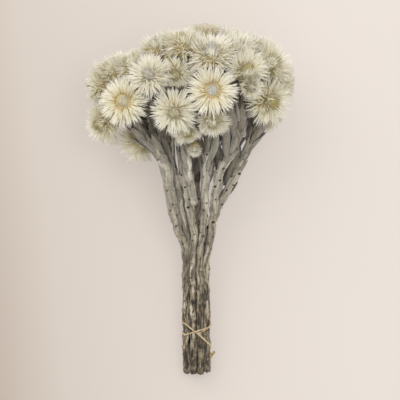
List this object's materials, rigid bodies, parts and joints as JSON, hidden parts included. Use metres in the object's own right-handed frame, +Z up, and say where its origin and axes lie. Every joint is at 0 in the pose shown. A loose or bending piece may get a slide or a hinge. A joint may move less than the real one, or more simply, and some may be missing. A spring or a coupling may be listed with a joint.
{
  "type": "dried everlasting flower bunch",
  "caption": "Hand bunch of dried everlasting flowers lying on its side: papery many-bracted heads on felted grey forking stems, tied low with a strand of raffia.",
  "frame": {"origin": "middle of the bunch's bounding box, on the surface that it lies on", "axes": "+Y along the stems towards the flower heads, +Z up from the surface that the bunch lies on"},
  "size_m": [0.178, 0.3, 0.114],
  "materials": {
    "papery_bracts": "dry papery, slightly glossy",
    "felted_stem": "woody, felted and matte",
    "raffia": "dry fibrous"
  },
  "bodies": {
    "root": {"bloom_01": "papery_bracts", "bloom_02": "papery_bracts", "bloom_03": "papery_bracts", "bloom_04": "papery_bracts", "bloom_05": "papery_bracts", "bloom_06": "papery_bracts", "bloom_07": "papery_bracts", "bloom_08": "papery_bracts", "bloom_09": "papery_bracts", "bloom_10": "papery_bracts", "bloom_11": "papery_bracts", "bloom_12": "papery_bracts", "bloom_13": "papery_bracts", "bloom_14": "papery_bracts", "bloom_15": "papery_bracts", "bloom_16": "papery_bracts", "bloom_17": "papery_bracts", "bloom_18": "papery_bracts", "bloom_19": "papery_bracts", "bloom_20": "papery_bracts", "bloom_21": "papery_bracts", "bloom_22": "papery_bracts", "bloom_23": "papery_bracts", "bloom_24": "papery_bracts", "bloom_25": "papery_bracts", "bloom_26": "papery_bracts", "bloom_27": "papery_bracts", "bloom_28": "papery_bracts", "bloom_29": "papery_bracts", "bloom_30": "papery_bracts", "bloom_31": "papery_bracts", "bloom_32": "papery_bracts", "bloom_33": "papery_bracts", "bloom_34": "papery_bracts", "bloom_35": "papery_bracts", "bloom_36": "papery_bracts", "bloom_37": "papery_bracts", "bloom_38": "papery_bracts", "stem_front_1": "felted_stem", "stem_front_2": "felted_stem", "stem_front_3": "felted_stem", "stem_front_4": "felted_stem", "stem_middle_1": "felted_stem", "stem_middle_2": "felted_stem", "stem_middle_3": "felted_stem", "stem_low_1": "felted_stem", "stem_low_2": "felted_stem", "stem_low_3": "felted_stem", "stem_low_4": "felted_stem", "stem_sprig": "felted_stem", "tie": "raffia"}
  },
  "joints": []
}
